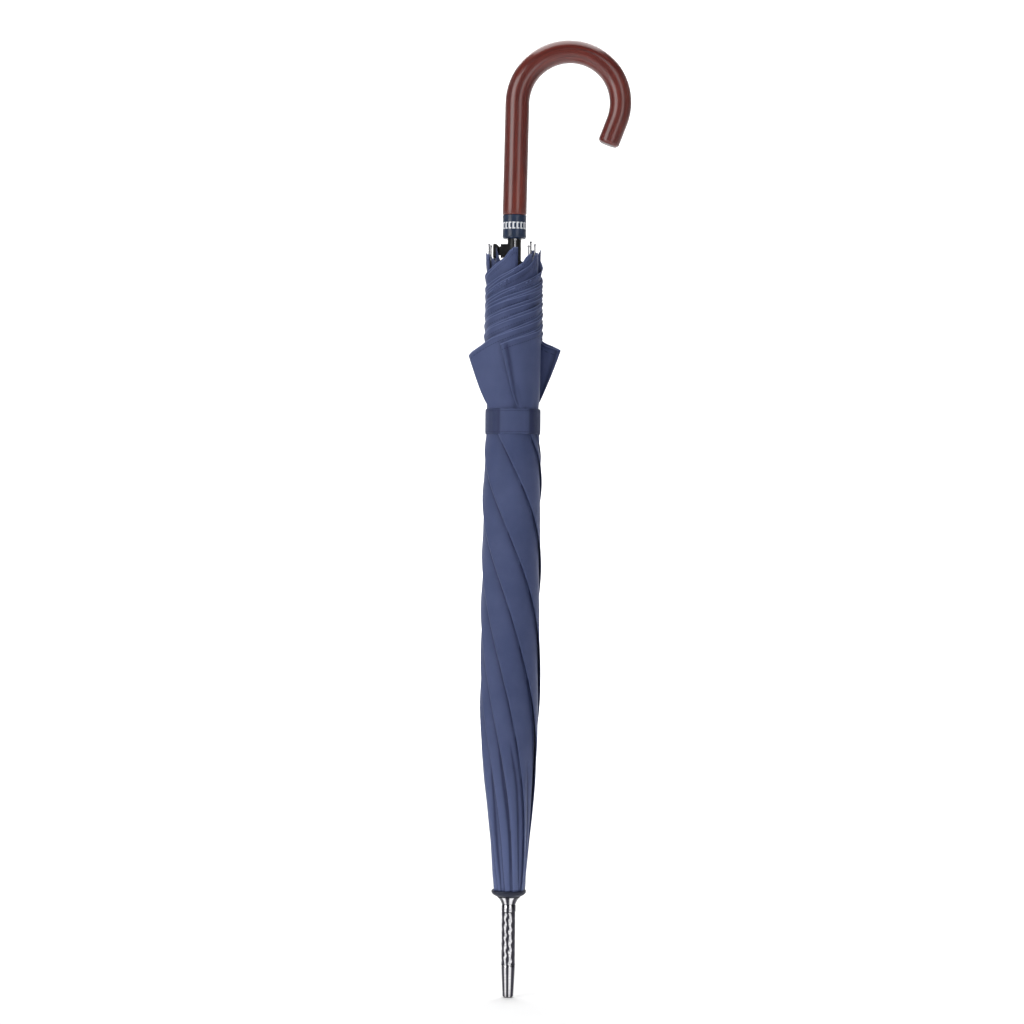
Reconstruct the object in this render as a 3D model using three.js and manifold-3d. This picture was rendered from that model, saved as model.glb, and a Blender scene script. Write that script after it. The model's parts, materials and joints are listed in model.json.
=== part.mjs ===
// A stick umbrella, closed and furled: wooden crook handle, push-button housing, sliding runner,
// eight channel-section ribs with stretchers, a furled canopy in eight gores, and a chrome ferrule.
// Millimetres, +Z up. The origin is the flat end of the ferrule, on the shaft's axis. The crook
// opens towards +X, and the push button faces -X.

import * as THREE from 'three';
import { mergeVertices } from 'three/addons/utils/BufferGeometryUtils.js';
import Module from 'manifold-3d';

const wasm = await Module();
wasm.setup();

// ---------------------------------------------------------------- driving dimensions

const GAP = 0.3; // clearance between neighbouring pieces

const SHAFT = { r: 5, bore: 4.2, z0: 12, z1: 780 };
const SLIDE_BORE = SHAFT.r + 0.35; // bore of everything that is threaded on the shaft

const FERRULE = { tipEndR: 5.2, tipR: 6.5, tipZ: 28.9, sleeveR: 6.4, sleeveZ: 86, flareR: 9.4, flareZ: 92 };
const CAP = { r: 15.9, rimZ: 98.4, topZ: 101 };

const HANDLE = { r: 11.2, spigotR: 8.5, z0: 728, arcR: 48, arcZ: 831, endSweep: 20, endRun: 20 };
const COLLAR = { r: 10.9, z0: 705, z1: 727.7, floor: 7 };
const HOUSING = { r: 6.3, z0: 684, z1: 711.7 };
const BOSS = { x0: -12.7, z0: 687.8, z1: 700.2, halfY: 4.3, wall: 0.9 };
const BUTTON = { x0: -19.8, capX: -15.5, stemX: -8.3, z0: 687.3, z1: 700.7, halfY: 4.2, halfStemY: 2.8 };

const RIBS = 8;
const HINGE_R = 9.5; // radius of both wire rings
const CROWN_PIN_Z = 103.5;
const RUNNER_PIN_Z = 677;
const JOINT = { r: 16.5, z: (CROWN_PIN_Z + RUNNER_PIN_Z) / 2 }; // rivet between rib and stretcher
const WIRE_R = 0.45;
const PIN_HOLE_R = 0.7;
const EYE_R = 1.3;
const BLADE = 1.4; // thickness of rib tabs and stretchers
const SLOT = 2; // width of the slots and of the rib's channel
const RIB = { width: 3.2, depth: 2.8, wall: 0.6, tipLength: 15 };
const HUB_R = 7.9;

// Centreline of a rib: [height, radius]. The last stretch leads to the tip.
const RIB_LINE = [[110, 10.1], [200, 12.9], [300, 15.8], [390, 17.3], [480, 18.4], [560, 19.2], [640, 20.3]];
// Where each closed rib ends: [azimuth in degrees, radius, height]. The last ones lean aside a little.
const TIPS = [
  [-30, 22, 700], [46, 22.3, 705], [92, 22.3, 701], [137, 22.3, 700],
  [178, 23.4, 701], [196, 22.6, 699], [272, 22.5, 704], [306, 22.5, 698],
];

// Furled canopy: [height, inner radius, outer radius], with a flared petal on every gore.
const BUNDLE = [
  [101.5, 11.9, 15], [146, 13.2, 19.2], [183, 14.3, 22.3], [239, 16.2, 26.2], [275, 17.4, 27.6],
  [390, 19.5, 27.2], [500, 20.6, 26.6], [520, 20.9, 24.2], [550, 21.2, 24.2], [562, 21.3, 25.6], [601, 21.8, 27],
  [614, 22, 26.8], [690, 25.4, 27.2],
];
const PETAL = { z0: 560, peakZ: 601, z1: 614, reach: 15, halfAngle: 15 };
const BUNDLE_SIDES = 48;

const STRAP = { z0: 523.3, z1: 546.7, r: 24.5, thick: 0.7, from: 115, to: 425, tabFrom: 62, tabTo: 126, lift: 1.1 };
const SNAP = { azimuth: 119, capR: 4.5, capThick: 1.2, studR: 2.5, studThick: 0.5 };

// ---------------------------------------------------------------- materials

const look = (color, roughness, metalness = 0) =>
  new THREE.MeshStandardMaterial({ color, roughness, metalness });
const WOOD = look(0x5e2a20, 0.25);
const CHROME = look(0xc9ccd2, 0.15, 1);
const STEEL = look(0x9da0a6, 0.35, 1);
const BLACK = look(0x121214, 0.45);
const COLLAR_BLUE = look(0x243352, 0.4);
const CLOTH = look(0x4b5675, 0.8);
const CLOTH_DARK = look(0x262f4f, 0.7);

// ---------------------------------------------------------------- helpers

const rad = THREE.MathUtils.degToRad;

// A closed three.js geometry as a manifold-3d solid.
function solid(geometry) {
  const bare = geometry.clone();
  bare.deleteAttribute('normal');
  bare.deleteAttribute('uv');
  const merged = mergeVertices(bare, 1e-4);
  return new wasm.Manifold(new wasm.Mesh({
    numProp: 3,
    vertProperties: merged.attributes.position.array,
    triVerts: new Uint32Array(merged.index.array),
  }));
}

// A manifold-3d solid as a three.js geometry.
function geometryOf(manifold) {
  const { vertProperties, triVerts } = manifold.getMesh();
  const geometry = new THREE.BufferGeometry();
  geometry.setAttribute('position', new THREE.BufferAttribute(vertProperties, 3));
  geometry.setIndex(new THREE.BufferAttribute(triVerts, 1));
  geometry.computeVertexNormals();
  return geometry;
}

const join = (...parts) => parts.map(solid).reduce((whole, part) => whole.add(part));
const cut = (whole, ...tools) => tools.map(solid).reduce((rest, tool) => rest.subtract(tool), whole);

// A solid turned about Z from [radius, height] points.
const turned = (profile, sides = 24) =>
  new THREE.LatheGeometry(profile.map(([r, z]) => new THREE.Vector2(r, z)), sides).rotateX(Math.PI / 2);

// A ring about Z with a rectangular section.
const ring = (inner, outer, z0, z1) =>
  turned([[inner, z0], [outer, z0], [outer, z1], [inner, z1], [inner, z0]]);

const box = (x0, x1, y0, y1, z0, z1) =>
  new THREE.BoxGeometry(x1 - x0, y1 - y0, z1 - z0).translate((x0 + x1) / 2, (y0 + y1) / 2, (z0 + z1) / 2);

// A round bar along Y through (x, z).
const barAlongY = (x, z, r, length) =>
  new THREE.CylinderGeometry(r, r, length, 8).translate(x, 0, z);

// A section swept along a curve.
function swept(points, curve, steps) {
  const section = new THREE.Shape(points.map(([x, y]) => new THREE.Vector2(x, y)));
  return new THREE.ExtrudeGeometry(section, { extrudePath: curve, steps });
}

const circle = (r, sides) =>
  Array.from({ length: sides }, (_, i) => {
    const a = (2 * Math.PI * i) / sides;
    return [r * Math.cos(a), r * Math.sin(a)];
  });

// An arc-shaped strip about Z, between two azimuths in degrees.
function arcStrip(inner, outer, z0, z1, from, to) {
  const shape = new THREE.Shape();
  shape.absarc(0, 0, outer, rad(from), rad(to), false);
  shape.absarc(0, 0, inner, rad(to), rad(from), true);
  const curveSegments = Math.ceil((to - from) / 16);
  return new THREE.ExtrudeGeometry(shape, { depth: z1 - z0, bevelEnabled: false, curveSegments })
    .translate(0, 0, z0);
}

const umbrella = new THREE.Group();

function add(parent, name, geometry, material) {
  const mesh = new THREE.Mesh(geometry, material);
  mesh.name = name;
  parent.add(mesh);
  return mesh;
}

// ---------------------------------------------------------------- shaft, ferrule and cap

add(umbrella, 'shaft_tube', ring(SHAFT.bore, SHAFT.r, SHAFT.z0, SHAFT.z1), STEEL);

add(umbrella, 'ferrule_tip', turned([
  [0, 0], [FERRULE.tipEndR - 0.7, 0], [FERRULE.tipEndR, 0.7], [FERRULE.tipR, FERRULE.tipZ],
  [SLIDE_BORE, FERRULE.tipZ], [SLIDE_BORE, SHAFT.z0 - GAP], [0, SHAFT.z0 - GAP],
]), CHROME);

add(umbrella, 'ferrule_sleeve', turned([
  [SLIDE_BORE, FERRULE.tipZ + GAP], [FERRULE.sleeveR + 0.3, FERRULE.tipZ + GAP],
  [FERRULE.sleeveR + 0.3, FERRULE.tipZ + 1.2], [FERRULE.sleeveR, FERRULE.tipZ + 1.6],
  [FERRULE.sleeveR, FERRULE.sleeveZ], [SLIDE_BORE, FERRULE.sleeveZ],
  [SLIDE_BORE, FERRULE.tipZ + GAP],
]), CHROME);

add(umbrella, 'ferrule_flange', turned([
  [SLIDE_BORE, FERRULE.sleeveZ + GAP], [FERRULE.sleeveR, FERRULE.sleeveZ + GAP],
  [FERRULE.sleeveR + 0.6, FERRULE.sleeveZ + 2], [FERRULE.flareR, FERRULE.flareZ - 0.8],
  [FERRULE.flareR, FERRULE.flareZ], [SLIDE_BORE, FERRULE.flareZ],
  [SLIDE_BORE, FERRULE.sleeveZ + GAP],
]), CHROME);

add(umbrella, 'top_cap', turned([
  [SLIDE_BORE, FERRULE.flareZ + GAP], [9.4, FERRULE.flareZ + GAP], [12.5, 94.7], [CAP.r, CAP.rimZ],
  [CAP.r, CAP.topZ], [CAP.r - 1, CAP.topZ], [11.6, 96.4], [8.8, 94.2], [SLIDE_BORE, 94.2],
  [SLIDE_BORE, FERRULE.flareZ + GAP],
]), CLOTH_DARK);

// ---------------------------------------------------------------- handle and collar

const crookPoints = [[0, HANDLE.z0], [0, 760], [0, 795], [0, 815]];
for (let a = 180; a >= -HANDLE.endSweep; a -= 12.5) {
  crookPoints.push([
    HANDLE.arcR + HANDLE.arcR * Math.cos(rad(a)),
    HANDLE.arcZ + HANDLE.arcR * Math.sin(rad(a)),
  ]);
}
const [arcEndX, arcEndZ] = crookPoints.at(-1);
crookPoints.push([
  arcEndX - HANDLE.endRun * Math.sin(rad(HANDLE.endSweep)),
  arcEndZ - HANDLE.endRun * Math.cos(rad(HANDLE.endSweep)),
]);
const crookCurve = new THREE.CatmullRomCurve3(crookPoints.map(([x, z]) => new THREE.Vector3(x, 0, z)));
add(umbrella, 'handle_crook', geometryOf(cut(
  join(
    swept(circle(HANDLE.r, 20), crookCurve, 34),
    turned([[0, COLLAR.z0 + COLLAR.floor + GAP], [HANDLE.spigotR, COLLAR.z0 + COLLAR.floor + GAP],
      [HANDLE.spigotR, HANDLE.z0 + 1], [0, HANDLE.z0 + 1]], 24),
  ),
  turned([[0, 700], [SLIDE_BORE, 700], [SLIDE_BORE, SHAFT.z1 + GAP], [0, SHAFT.z1 + GAP]], 24),
)), WOOD);

add(umbrella, 'collar_band', turned([
  [HOUSING.r + GAP, COLLAR.z0], [COLLAR.r - 0.8, COLLAR.z0], [COLLAR.r, COLLAR.z0 + 1.6],
  [COLLAR.r, COLLAR.z1], [HANDLE.spigotR + GAP, COLLAR.z1],
  [HANDLE.spigotR + GAP, COLLAR.z0 + COLLAR.floor], [HOUSING.r + GAP, COLLAR.z0 + COLLAR.floor],
  [HOUSING.r + GAP, COLLAR.z0],
]), COLLAR_BLUE);

// ---------------------------------------------------------------- push button

const { wall } = BOSS;
add(umbrella, 'button_housing', geometryOf(cut(
  join(
    turned([[0, HOUSING.z0], [HOUSING.r, HOUSING.z0], [HOUSING.r, HOUSING.z1], [0, HOUSING.z1]]),
    box(BOSS.x0, 0, -BOSS.halfY, BOSS.halfY, BOSS.z0, BOSS.z1),
  ),
  turned([[0, 680], [SLIDE_BORE, 680], [SLIDE_BORE, 715], [0, 715]]),
  box(BOSS.x0 - 1, -4, wall - BOSS.halfY, BOSS.halfY - wall, BOSS.z0 + wall, BOSS.z1 - wall),
)), BLACK);

const stemGap = wall + GAP;
add(umbrella, 'push_button', geometryOf(join(
  box(BUTTON.x0, BUTTON.capX, -BUTTON.halfY, BUTTON.halfY, BUTTON.z0, BUTTON.z1),
  box(BUTTON.capX - 1, BUTTON.stemX, -BUTTON.halfStemY, BUTTON.halfStemY,
    BOSS.z0 + stemGap, BOSS.z1 - stemGap),
)), BLACK);

const springPoints = Array.from({ length: 25 }, (_, i) => {
  const turn = (i / 24) * 2.5 * 2 * Math.PI;
  return new THREE.Vector3(-7.6 + (i / 24) * 1.8, 2.1 * Math.cos(turn), 694 + 2.1 * Math.sin(turn));
});
add(umbrella, 'button_spring',
  swept(circle(0.25, 6), new THREE.CatmullRomCurve3(springPoints), 27), STEEL);

// ---------------------------------------------------------------- crown, runner and wire rings

// Eight radial slots, 45 degrees apart, between two heights.
const slots = (z0, z1) => Array.from({ length: RIBS }, (_, i) =>
  box(HUB_R, 20, -SLOT / 2, SLOT / 2, z0, z1).rotateZ((i * 2 * Math.PI) / RIBS));

// An eight-sided wire ring whose sides cross the spokes at right angles, at the hinges.
function wireRing(r, z) {
  const halfSide = Math.PI / RIBS;
  const section = circle(r, 8).map(([x, y]) =>
    new THREE.Vector2((HINGE_R + x) / Math.cos(halfSide), z + y));
  return new THREE.LatheGeometry([...section, section[0]], RIBS, halfSide).rotateX(Math.PI / 2);
}

for (const [name, z, profile, slotZ] of [
  ['crown', CROWN_PIN_Z, [
    [SLIDE_BORE, 97.8], [11.2, 97.8], [11.2, 107.5], [HUB_R, 108.5], [SLIDE_BORE, 108.5],
    [SLIDE_BORE, 97.8],
  ], [101.4, 112]],
  ['runner', RUNNER_PIN_Z, [
    [SLIDE_BORE, 636], [HUB_R, 636], [HUB_R, 671], [11, 672], [11, 681], [10.4, 683.7],
    [SLIDE_BORE, 683.7], [SLIDE_BORE, 636],
  ], [660, 679]],
]) {
  const cuts = [wireRing(WIRE_R + GAP, z), ...slots(...slotZ)];
  add(umbrella, name, geometryOf(cut(solid(turned(profile)), ...cuts)), BLACK);
  add(umbrella, `${name}_wire`, wireRing(WIRE_R, z), STEEL);
}

// ---------------------------------------------------------------- ribs, stretchers and gores

// Every spoke is built in its own group, with the radial direction along the group's +X.

const half = RIB.width / 2;
const deep = RIB.depth / 2;
const channel = [
  [-half, deep], [-half, -deep], [-SLOT / 2, -deep], [-SLOT / 2, deep - RIB.wall],
  [SLOT / 2, deep - RIB.wall], [SLOT / 2, -deep], [half, -deep], [half, deep],
];

function ribGeometry(lean, tipR, tipZ) {
  const endZ = tipZ - RIB.tipLength - GAP;
  const points = [...RIB_LINE, [endZ, tipR]].map(([z, r]) => {
    const a = rad(lean) * (Math.max(0, z - JOINT.z) / (endZ - JOINT.z)) ** 2;
    return new THREE.Vector3(r * Math.cos(a), r * Math.sin(a), z);
  });
  const ears = [-1, 1].map((side) =>
    box(JOINT.r - EYE_R, JOINT.r + 1, -RIB.wall / 2, RIB.wall / 2, JOINT.z - 3, JOINT.z + 3)
      .translate(0, side * (SLOT / 2 + RIB.wall / 2), 0));
  return geometryOf(cut(
    join(
      swept(channel, new THREE.CatmullRomCurve3(points), 9),
      ...ears,
      barAlongY(HINGE_R, CROWN_PIN_Z, EYE_R, BLADE),
      box(HINGE_R - 1, HINGE_R + 1.6, -BLADE / 2, BLADE / 2, CROWN_PIN_Z, 116),
    ),
    barAlongY(HINGE_R, CROWN_PIN_Z, PIN_HOLE_R, 5),
    barAlongY(JOINT.r, JOINT.z, PIN_HOLE_R, 8),
  ));
}

const stretcherRun = new THREE.Vector2(HINGE_R - JOINT.r, RUNNER_PIN_Z - JOINT.z);
const stretcher = geometryOf(cut(
  join(
    box(-1.1, 1.1, -BLADE / 2, BLADE / 2, 0, stretcherRun.length())
      .rotateY(Math.atan2(stretcherRun.x, stretcherRun.y)).translate(JOINT.r, 0, JOINT.z),
    barAlongY(JOINT.r, JOINT.z, EYE_R, BLADE),
    barAlongY(HINGE_R, RUNNER_PIN_Z, EYE_R, BLADE),
  ),
  barAlongY(JOINT.r, JOINT.z, PIN_HOLE_R, 4),
  barAlongY(HINGE_R, RUNNER_PIN_Z, PIN_HOLE_R, 4),
));

const rivetEnd = half + GAP;
const rivet = turned([
  [0, -rivetEnd - 0.5], [1, -rivetEnd - 0.5], [1, -rivetEnd], [WIRE_R, -rivetEnd],
  [WIRE_R, rivetEnd], [1, rivetEnd], [1, rivetEnd + 0.5], [0, rivetEnd + 0.5],
], 8).rotateX(Math.PI / 2).translate(JOINT.r, 0, JOINT.z);

const ribTip = turned([
  [0, 0], [1.7, 0], [1.7, 4], [0.8, 5], [0.8, 12.4], [1.2, 13], [1.2, 14.1], [0.6, 14.8],
  [0, RIB.tipLength],
], 8);

// One gore of the furled canopy: a 45 degree sector of a turned ring, with a flared petal.
function goreGeometry() {
  const outline = [
    ...BUNDLE.map(([z, inner]) => [inner, z]).reverse(),
    ...BUNDLE.map(([z, , outer]) => [outer, z]),
  ];
  outline.push(outline[0]);
  const bundle = turned(outline, BUNDLE_SIDES);
  const position = bundle.attributes.position;
  const point = new THREE.Vector3();
  for (let i = 0; i < position.count; i += 1) {
    point.fromBufferAttribute(position, i);
    const r = Math.hypot(point.x, point.y);
    const a = Math.abs(THREE.MathUtils.radToDeg(Math.atan2(point.y, point.x)));
    if (r < 25 || a > PETAL.halfAngle) continue;
    const rise = Math.min(
      (point.z - PETAL.z0) / (PETAL.peakZ - PETAL.z0),
      (PETAL.z1 - point.z) / (PETAL.z1 - PETAL.peakZ),
    );
    const flare = PETAL.reach * Math.max(0, rise) * (1 - a / PETAL.halfAngle);
    position.setXYZ(i, point.x * (1 + flare / r), point.y * (1 + flare / r), point.z);
  }
  const far = 60;
  const spread = Math.PI / RIBS;
  const apex = GAP / 2 / Math.sin(spread);
  const wedge = new THREE.Shape([
    new THREE.Vector2(apex, 0),
    new THREE.Vector2(far, -(far - apex) * Math.tan(spread)),
    new THREE.Vector2(far, (far - apex) * Math.tan(spread)),
  ]);
  const sector = new THREE.ExtrudeGeometry(wedge, { depth: 800, bevelEnabled: false });
  return geometryOf(solid(bundle).intersect(solid(sector)));
}
const gore = goreGeometry();

TIPS.forEach(([tipAzimuth, tipR, tipZ], i) => {
  const azimuth = (i * 360) / RIBS;
  const lean = tipAzimuth - azimuth;
  const spoke = new THREE.Group();
  spoke.rotation.z = rad(azimuth);
  umbrella.add(spoke);
  add(spoke, `rib_${i + 1}`, ribGeometry(lean, tipR, tipZ), STEEL);
  add(spoke, `rib_tip_${i + 1}`, ribTip, CHROME)
    .position.set(tipR * Math.cos(rad(lean)), tipR * Math.sin(rad(lean)), tipZ - RIB.tipLength);
  add(spoke, `stretcher_${i + 1}`, stretcher, STEEL);
  add(spoke, `rivet_${i + 1}`, rivet, STEEL);
  add(spoke, `gore_${i + 1}`, gore, CLOTH);
});

// ---------------------------------------------------------------- strap

const strapR = STRAP.r + STRAP.thick;
add(umbrella, 'strap_band',
  arcStrip(STRAP.r, strapR, STRAP.z0, STRAP.z1, STRAP.from, STRAP.to), CLOTH_DARK);
const tabR = strapR + STRAP.lift;
add(umbrella, 'strap_tab',
  arcStrip(tabR, tabR + STRAP.thick, STRAP.z0, STRAP.z1, STRAP.tabFrom, STRAP.tabTo), CLOTH_DARK);

const strapZ = (STRAP.z0 + STRAP.z1) / 2;
const snapDisc = (r, thick) => new THREE.CylinderGeometry(r, r, thick, 20).rotateZ(Math.PI / 2);
for (const [name, r, thick, at] of [
  ['snap_cap', SNAP.capR, SNAP.capThick, tabR + STRAP.thick + GAP + SNAP.capThick / 2],
  ['snap_stud', SNAP.studR, SNAP.studThick, strapR + 0.2 + SNAP.studThick / 2],
]) {
  const a = rad(SNAP.azimuth);
  const disc = add(umbrella, name, snapDisc(r, thick), CHROME);
  disc.position.set(at * Math.cos(a), at * Math.sin(a), strapZ);
  disc.rotation.z = a;
}

export default umbrella;
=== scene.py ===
"""Stick umbrella, furled: the finished pieces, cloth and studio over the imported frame."""

import json
import math

import bmesh
import bpy
from bpy.props import FloatProperty, FloatVectorProperty, IntProperty, PointerProperty
from mathutils import Matrix, Vector


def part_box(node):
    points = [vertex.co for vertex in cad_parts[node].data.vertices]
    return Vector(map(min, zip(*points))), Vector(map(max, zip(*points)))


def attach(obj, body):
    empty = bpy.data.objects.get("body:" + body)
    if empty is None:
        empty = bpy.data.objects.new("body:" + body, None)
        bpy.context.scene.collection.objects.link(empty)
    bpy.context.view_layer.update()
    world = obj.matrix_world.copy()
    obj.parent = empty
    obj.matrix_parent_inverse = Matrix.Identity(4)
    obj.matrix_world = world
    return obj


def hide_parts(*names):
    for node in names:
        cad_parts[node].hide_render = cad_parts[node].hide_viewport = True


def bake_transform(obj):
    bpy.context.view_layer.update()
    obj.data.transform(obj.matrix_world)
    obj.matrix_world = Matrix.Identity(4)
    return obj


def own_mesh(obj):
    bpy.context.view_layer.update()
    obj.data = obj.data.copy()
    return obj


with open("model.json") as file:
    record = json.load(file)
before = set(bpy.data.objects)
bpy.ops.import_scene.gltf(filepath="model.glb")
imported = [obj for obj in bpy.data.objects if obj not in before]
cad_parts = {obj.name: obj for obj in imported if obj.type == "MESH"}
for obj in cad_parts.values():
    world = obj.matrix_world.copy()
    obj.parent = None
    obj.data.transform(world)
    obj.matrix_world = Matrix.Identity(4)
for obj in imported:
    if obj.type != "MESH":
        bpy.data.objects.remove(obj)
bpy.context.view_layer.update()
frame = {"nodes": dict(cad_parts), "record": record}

bl_info = {
    "name": "Stick Umbrella",
    "version": (1, 0, 0),
    "blender": (4, 5, 0),
    "location": "View3D > Sidebar > Umbrella",
    "description": "Dresses the umbrella frame with its cloth, wood, metal and studio",
    "category": "Object",
}

RIBS = 8
STEP = math.tau / RIBS


# ---------------------------------------------------------------- small helpers


def ease(x):
    """0 to 1 with level ends."""
    x = min(1.0, max(0.0, x))
    return x * x * (3 - 2 * x)


def between(x, low, high):
    """Share of the way from low to high, held between 0 and 1."""
    return min(1.0, max(0.0, (x - low) / (high - low)))


def mix(a, b, share):
    """The number that lies this share of the way from a to b."""
    return a + (b - a) * share


def along(points, x):
    """A smooth curve through (place, value) points, level beyond its ends."""
    if x <= points[0][0]:
        return points[0][1]
    if x >= points[-1][0]:
        return points[-1][1]
    last = len(points) - 1
    i = next(k for k in range(last) if x <= points[k + 1][0])

    def slope(k):
        if k in (0, last):
            a, b = (k, k + 1) if k == 0 else (k - 1, k)
            return (points[b][1] - points[a][1]) / (points[b][0] - points[a][0])
        left = (points[k][1] - points[k - 1][1]) / (points[k][0] - points[k - 1][0])
        right = (points[k + 1][1] - points[k][1]) / (points[k + 1][0] - points[k][0])
        return 0.0 if left * right <= 0 else 2 * left * right / (left + right)

    (x0, y0), (x1, y1) = points[i], points[i + 1]
    h = x1 - x0
    t = (x - x0) / h
    rise = y0 * (1 + 2 * t) * (1 - t) ** 2 + y1 * t * t * (3 - 2 * t)
    return rise + slope(i) * h * t * (1 - t) ** 2 - slope(i + 1) * h * t * t * (1 - t)


class Profile:
    """A smooth curve through (height, value) points, kept as samples a millimetre apart."""

    def __init__(self, points, span=0.001):
        self.low, self.span = points[0][0], span
        count = int((points[-1][0] - self.low) / span) + 2
        self.values = [along(points, self.low + span * k) for k in range(count)]

    def __call__(self, z):
        spot = max(0.0, (z - self.low) / self.span)
        k = min(int(spot), len(self.values) - 2)
        return mix(self.values[k], self.values[k + 1], min(1.0, spot - k))


def polar(azimuth, radius, z):
    """The point at an azimuth and radius round the stick."""
    return Vector((radius * math.cos(azimuth), radius * math.sin(azimuth), z))


def finished(name, bm, finish, normals=True, sharp=None):
    """The bmesh as a smooth object at the origin, wearing one finish."""
    if normals:
        bmesh.ops.recalc_face_normals(bm, faces=bm.faces[:])
    for face in bm.faces:
        face.smooth = True
    if sharp is not None:
        for edge in bm.edges:
            if len(edge.link_faces) == 2 and edge.calc_face_angle(0) > sharp:
                edge.smooth = False
    mesh = bpy.data.meshes.new(name)
    bm.to_mesh(mesh)
    bm.free()
    mesh.materials.append(finish)
    piece = bpy.data.objects.new(name, mesh)
    bpy.context.scene.collection.objects.link(piece)
    return piece


def lathe(profile, steps=64, centre=(0, 0, 0), axis=(0, 0, 1), side=(1, 0, 0)):
    """A closed turned shape: profile is (radius, height) pairs from the axis back to it."""
    bm = bmesh.new()
    up, out, middle = Vector(axis), Vector(side), Vector(centre)
    verts = [bm.verts.new(middle + out * r + up * h) for r, h in profile]
    edges = [bm.edges.new(pair) for pair in zip(verts, verts[1:])]
    bmesh.ops.spin(
        bm, geom=verts + edges, cent=middle, axis=up, angle=math.tau, steps=steps,
        use_merge=True,
    )
    bmesh.ops.remove_doubles(bm, verts=bm.verts[:], dist=1e-6)
    return bm


def cloth_grid(columns, rows):
    """A flat grid from -1 to 1 with the layers that the cloth's finish reads."""
    bm = bmesh.new()
    uv = bm.loops.layers.uv.new("cloth")
    painted_light_and_shade = bm.verts.layers.float.new("painted_light_and_shade")
    hem = bm.verts.layers.float.new("hem")
    bmesh.ops.create_grid(bm, x_segments=columns, y_segments=rows, size=1.0)
    return bm, uv, painted_light_and_shade, hem


def sheet_piece(name, bm, uv, flat, finish, layer, thickness):
    """The shaped grid as a piece: flat holds each point's place in the cloth before it was
    folded, and the layer gets its thickness half on each side."""
    for face in bm.faces:
        for loop in face.loops:
            loop[uv].uv = flat[loop.vert.index]
    piece = finished(name, bm, finish, normals=False)
    wall = piece.modifiers.new(layer, "SOLIDIFY")
    wall.thickness, wall.offset = thickness, 0
    return piece


def sweep(stations, sides):
    """A closed tube through stations of (matrix, radius), extruded ring by ring."""
    bm = bmesh.new()
    ring = bmesh.ops.create_circle(bm, cap_ends=True, segments=sides, radius=1.0)["verts"]
    place, radius = stations[0]
    last = place @ Matrix.Scale(radius, 4)
    bmesh.ops.transform(bm, matrix=last, verts=ring)
    edges = [e for e in bm.edges]
    for place, radius in stations[1:]:
        made = bmesh.ops.extrude_edge_only(bm, edges=edges)["geom"]
        verts = [g for g in made if isinstance(g, bmesh.types.BMVert)]
        edges = [g for g in made if isinstance(g, bmesh.types.BMEdge)]
        edges = [e for e in edges if e.verts[0] in verts and e.verts[1] in verts]
        new = place @ Matrix.Scale(radius, 4)
        bmesh.ops.transform(bm, matrix=new @ last.inverted(), verts=verts)
        last = new
    bmesh.ops.contextual_create(bm, geom=edges)
    return bm


# ---------------------------------------------------------------- materials


class Wire:
    """One output in a material's nodes; sums and products on it add Math nodes."""

    def __init__(self, finish, socket):
        self.finish, self.socket = finish, socket

    def _math(self, operation, a, b):
        return self.finish.node("ShaderNodeMath", {"operation": operation}, {0: a, 1: b})

    def __add__(self, other):
        return self._math("ADD", self, other)

    def __radd__(self, other):
        return self._math("ADD", other, self)

    def __sub__(self, other):
        return self._math("SUBTRACT", self, other)

    def __rsub__(self, other):
        return self._math("SUBTRACT", other, self)

    def __mul__(self, other):
        return self._math("MULTIPLY", self, other)

    def __rmul__(self, other):
        return self._math("MULTIPLY", other, self)

    def __truediv__(self, other):
        return self._math("DIVIDE", self, other)

    def __gt__(self, other):
        return self._math("GREATER_THAN", self, other)

    def __lt__(self, other):
        return self._math("LESS_THAN", self, other)

    def wave(self):
        return self._math("SINE", self, 0.0)

    def size(self):
        return self._math("ABSOLUTE", self, 0.0)

    def part(self):
        return self._math("FRACT", self, 0.0)

    def ramp(self, low, high):
        """0 at low, 1 at high, smooth between."""
        return self.finish.node(
            "ShaderNodeMapRange",
            {"interpolation_type": "SMOOTHSTEP"},
            {"Value": self, "From Min": low, "From Max": high},
        )


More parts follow.
